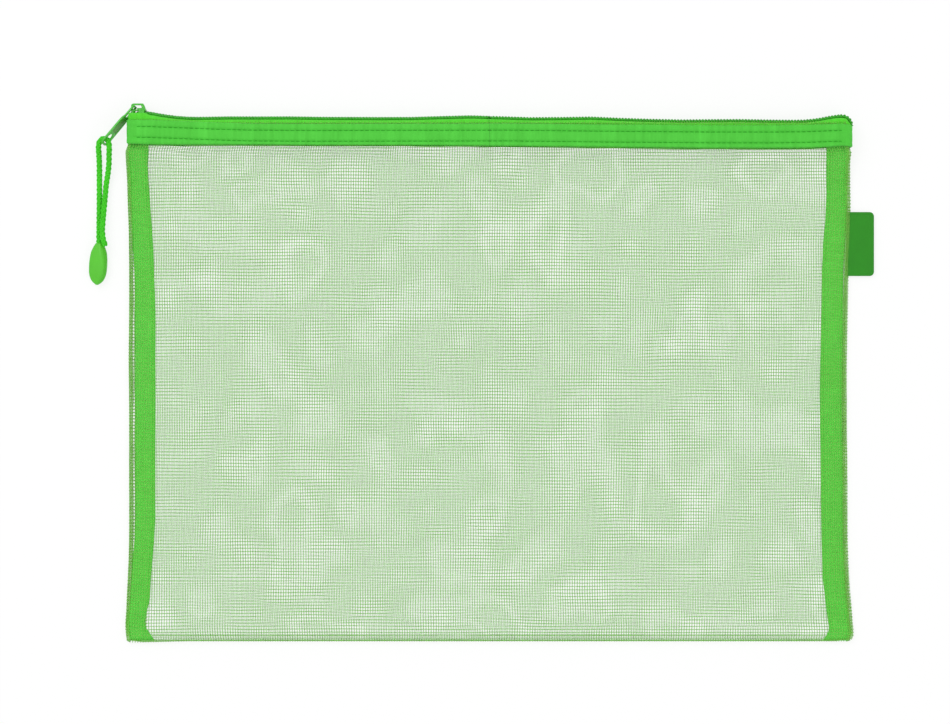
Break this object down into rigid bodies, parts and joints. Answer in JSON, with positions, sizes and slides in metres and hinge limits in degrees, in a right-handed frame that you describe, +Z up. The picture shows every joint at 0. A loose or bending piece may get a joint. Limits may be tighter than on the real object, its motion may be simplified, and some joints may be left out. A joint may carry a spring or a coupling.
{
  "type": "zipper pouch",
  "caption": "Flat net document pouch with a coil zipper along its top edge, a slider with a metal pull and a cord loop with a moulded end",
  "frame": {"origin": "middle of the pouch's underside, in the flat face that it lies on, between its two side edges and midway from the bottom fold to the top of the zipper", "axes": "+X runs along the zipper, from the closed slider's end to the other end; +Y runs from the bottom fold to the zipper; +Z is up, out of the front net"},
  "size_m": [0.358, 0.2456, 0.0096],
  "materials": {
    "net": "open net of fine green thread",
    "band": "woven tape, matt",
    "tape": "knitted zipper tape, matt",
    "coil": "dyed monofilament coil",
    "binding": "woven tape, matt",
    "label": "soft moulded label, bare",
    "slider": "die casting with green paint",
    "pull": "die casting with green paint",
    "cord": "braided cord",
    "tip": "moulded, satin"
  },
  "bodies": {
    "pouch": {"back_net": "net", "back_band": "band", "back_tape": "tape", "back_coil": "coil", "left_binding": "binding", "right_binding": "binding", "label_tag": "label"},
    "front_lip": {"front_net": "net", "front_band": "band", "front_tape": "tape", "front_coil": "coil"},
    "slider": {"slider_body": "slider"},
    "pull": {"pull_tab": "pull"},
    "cord_pull": {"pull_cord": "cord", "cord_tip": "tip"}
  },
  "joints": [
    {"name": "slider_slide", "type": "slide", "parent": "pouch", "child": "slider", "axis": [1, 0, 0], "range_m": [0, 0.312], "deforming": ["back_net", "back_band", "back_tape", "back_coil", "front_net", "front_band", "front_tape", "front_coil", "left_binding", "right_binding"]},
    {"name": "mouth_open", "type": "hinge", "parent": "pouch", "child": "front_lip", "pos_m": [0, -0.1185, 0.0015], "axis": [1, 0, 0], "range_deg": [0, 10]},
    {"name": "pull_swing", "type": "hinge", "parent": "slider", "child": "pull", "pos_m": [-0.16145, 0.1241, 0.0048], "axis": [0, 0, -1], "range_deg": [0, 232]},
    {"name": "cord_swing", "type": "hinge", "parent": "pull", "child": "cord_pull", "pos_m": [-0.17553, 0.10732, 0.0048], "axis": [0, 0, -1], "range_deg": [-6, 35], "deforming": ["pull_cord"]}
  ],
  "couplings": [
    {"joint": "mouth_open", "follows": "slider_slide", "rad_per_m": 0.559}
  ]
}
